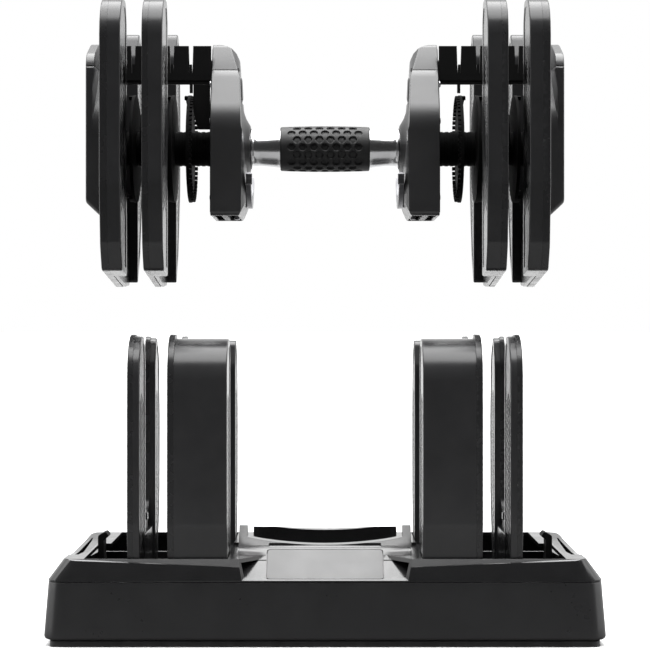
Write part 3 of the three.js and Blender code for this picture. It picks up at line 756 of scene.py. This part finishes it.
# ---------------------------------------------------------------- tray
TRAY = {"length": 439, "width": 224, "foot": 5, "seam": 50, "draft": 3, "corner": 15}


def tray_base():
    t = TRAY
    hx, hy = t["length"] / 2, t["width"] / 2
    levels = [(-16, 5.2, -14), (-16, 5, -14), (-3.4, t["foot"], -3), (-1.6, t["foot"] + 0.3, -1.4),
              (-0.5, t["foot"] + 1.2, -0.4), (0, t["foot"] + 2.6, 0)]
    for k in range(1, 7):
        z = 7.6 + (t["seam"] - 1.0 - 7.6) * k / 6
        levels.append((-t["draft"] * (z - 7.6) / (t["seam"] - 7.6), z, 0))
    levels += [(-t["draft"] - 0.3, t["seam"] - 0.3, -0.2), (-t["draft"] - 1, t["seam"], -0.8),
               (-t["draft"] - 3, t["seam"], -2.6), (-t["draft"] - 3, 9, -2.6), (-16, 8.5, -13)]
    rings = []
    for out, z, grow in levels:
        x, y, r = hx + out, hy + out, t["corner"] + grow
        corners = [(-x, -y, r), (x, -y, r), (x, y, r), (-x, y, r)]
        rings.append([(p.x, p.y, z) for p in rounded(corners, 10)])
    bm = bmesh.new()
    bridge_rings(bm, rings)
    piece("tray_tub", bm, M["tray"], "tray", ["tray_base"])


# ---------------------------------------------------------------- build everything
for word, side in SIDES:
    for key in "kbta":
        plate_core(key, word, side)
        plate_weights(key, word, side)
    inner_cover(word, side)
    end_cap(word, side)
    selector_details(word, side)
    for key in "kbta":
        dress(f"selector_{key}_{word}", M["selector"], 0.3)
    dress(f"dial_ring_{word}", M["dial"], 0.3)
    dress(f"lock_pin_{word}", M["steel"], 0.3)
    dress(f"index_guard_{word}", M["guard"], 0.4)
    dress(f"carrier_rail_{word}", M["frame"], 0.4)
    dress(f"rod_nut_{word}", M["steel"], 0.4)
    dress(f"plate_cradle_{word}", M["frame"], 0.5)
    dress(f"latch_hook_{word}", M["frame"], 0.5)
handle_tube()
grip_sleeve()
dress("drive_rod", M["steel"], 0.4)
dress("rail_bracket_left", M["frame"], 0.4)
tray_base()
dress("tray_deck", M["deck"], 0.6, 28)
dress("label_panel", M["panel"], 0.4)
dress("foot_rail_front", M["foot"], 0.6)
dress("foot_rail_rear", M["foot"], 0.6)


# ---------------------------------------------------------------- floor, light and camera
def pale_floor():
    """A pale floor, plain and evenly bright to the camera. To all other rays it is darker and holds painted
    shade, darker towards the front.
    """
    bm = bmesh.new()
    corners = [(-30, -1.05, 0), (30, -1.05, 0), (30, 60, 0), (-30, 60, 0)]
    bm.faces.new([bm.verts.new(c) for c in corners])
    mesh = bpy.data.meshes.new("floor")
    bm.to_mesh(mesh)
    bm.free()
    floor = bpy.data.objects.new("floor", mesh)
    bpy.context.scene.collection.objects.link(floor)
    material = bpy.data.materials.new("pale_floor")
    material.use_nodes = True
    tree = material.node_tree
    tree.nodes.clear()
    paint = tree.nodes.new("ShaderNodeBsdfDiffuse")
    depth = tree.nodes.new("ShaderNodeSeparateXYZ")
    tree.links.new(tree.nodes.new("ShaderNodeTexCoord").outputs["Object"], depth.inputs[0])
    # Painted shade: to all but camera rays the floor goes from 0.17 at the front to 0.6 far behind.
    ramp = tree.nodes.new("ShaderNodeMapRange")
    for socket, number in {"From Min": -0.1, "From Max": 1.2, "To Min": 0.17, "To Max": 0.6}.items():
        ramp.inputs[socket].default_value = number
    tree.links.new(depth.outputs["Y"], ramp.inputs["Value"])
    tree.links.new(ramp.outputs["Result"], paint.inputs["Color"])
    seen = tree.nodes.new("ShaderNodeBsdfDiffuse")
    seen.inputs["Color"].default_value = (0.85, 0.85, 0.85, 1)
    path = tree.nodes.new("ShaderNodeLightPath")
    mix = tree.nodes.new("ShaderNodeMixShader")
    out = tree.nodes.new("ShaderNodeOutputMaterial")
    tree.links.new(path.outputs["Is Camera Ray"], mix.inputs["Fac"])
    tree.links.new(paint.outputs[0], mix.inputs[1])
    tree.links.new(seen.outputs[0], mix.inputs[2])
    tree.links.new(mix.outputs[0], out.inputs["Surface"])
    mesh.materials.append(material)


def studio_light(top=6.6, side=2.2, back=1.2, dark=0.03):
    """A white studio: a large soft box overhead, one at each side, and a dark opening round the camera."""
    world = bpy.data.worlds.new("studio")
    bpy.context.scene.world = world
    world.use_nodes = True
    tree = world.node_tree
    background = tree.nodes["Background"]
    split = tree.nodes.new("ShaderNodeSeparateXYZ")
    tree.links.new(tree.nodes.new("ShaderNodeTexCoord").outputs["Generated"], split.inputs[0])

    def put(value, socket):
        if isinstance(value, (int, float)):
            socket.default_value = value
        else:
            tree.links.new(value, socket)

    def sums(operation, a, b=0.0):
        node = tree.nodes.new("ShaderNodeMath")
        node.operation = operation
        put(a, node.inputs[0])
        put(b, node.inputs[1])
        return node.outputs[0]

    def ramp(value, low, high, to_low, to_high):
        node = tree.nodes.new("ShaderNodeMapRange")
        node.interpolation_type = "SMOOTHSTEP"
        numbers = {"Value": value, "From Min": low, "From Max": high, "To Min": to_low, "To Max": to_high}
        for socket, number in numbers.items():
            put(number, node.inputs[socket])
        return node.outputs["Result"]

    def sine(degrees):
        return math.sin(math.radians(degrees))

    x, y, z = split.outputs
    level = sums("SQRT", sums("ADD", sums("MULTIPLY", x, x), sums("MULTIPLY", y, y)))
    facing = sums("DIVIDE", sums("MULTIPLY", y, -1.0), sums("MAXIMUM", level, 0.001))
    round_back = ramp(facing, sine(-16), sine(-6), back, side)
    low_down = ramp(facing, sine(16), sine(24), round_back, dark)
    overhead = ramp(y, -0.6, 0.5, 0.75 * top, 1.1 * top)
    strength = ramp(z, sine(50), sine(58), low_down, overhead)
    seen = tree.nodes.new("ShaderNodeLightPath").outputs["Is Camera Ray"]
    put(ramp(seen, 0.0, 1.0, strength, 1.0), background.inputs["Strength"])
    background.inputs["Color"].default_value = (1, 1, 1, 1)


def photo_camera():
    data = bpy.data.cameras.new("camera")
    data.sensor_width = 36
    data.lens = 111.54
    camera = bpy.data.objects.new("camera", data)
    camera.location = (0, -1.672, 0.250)
    camera.rotation_euler = (math.pi / 2, 0, 0)
    bpy.context.scene.collection.objects.link(camera)
    bpy.context.scene.camera = camera


pale_floor()
studio_light()
photo_camera()
bpy.context.scene.view_settings.view_transform = "Standard"
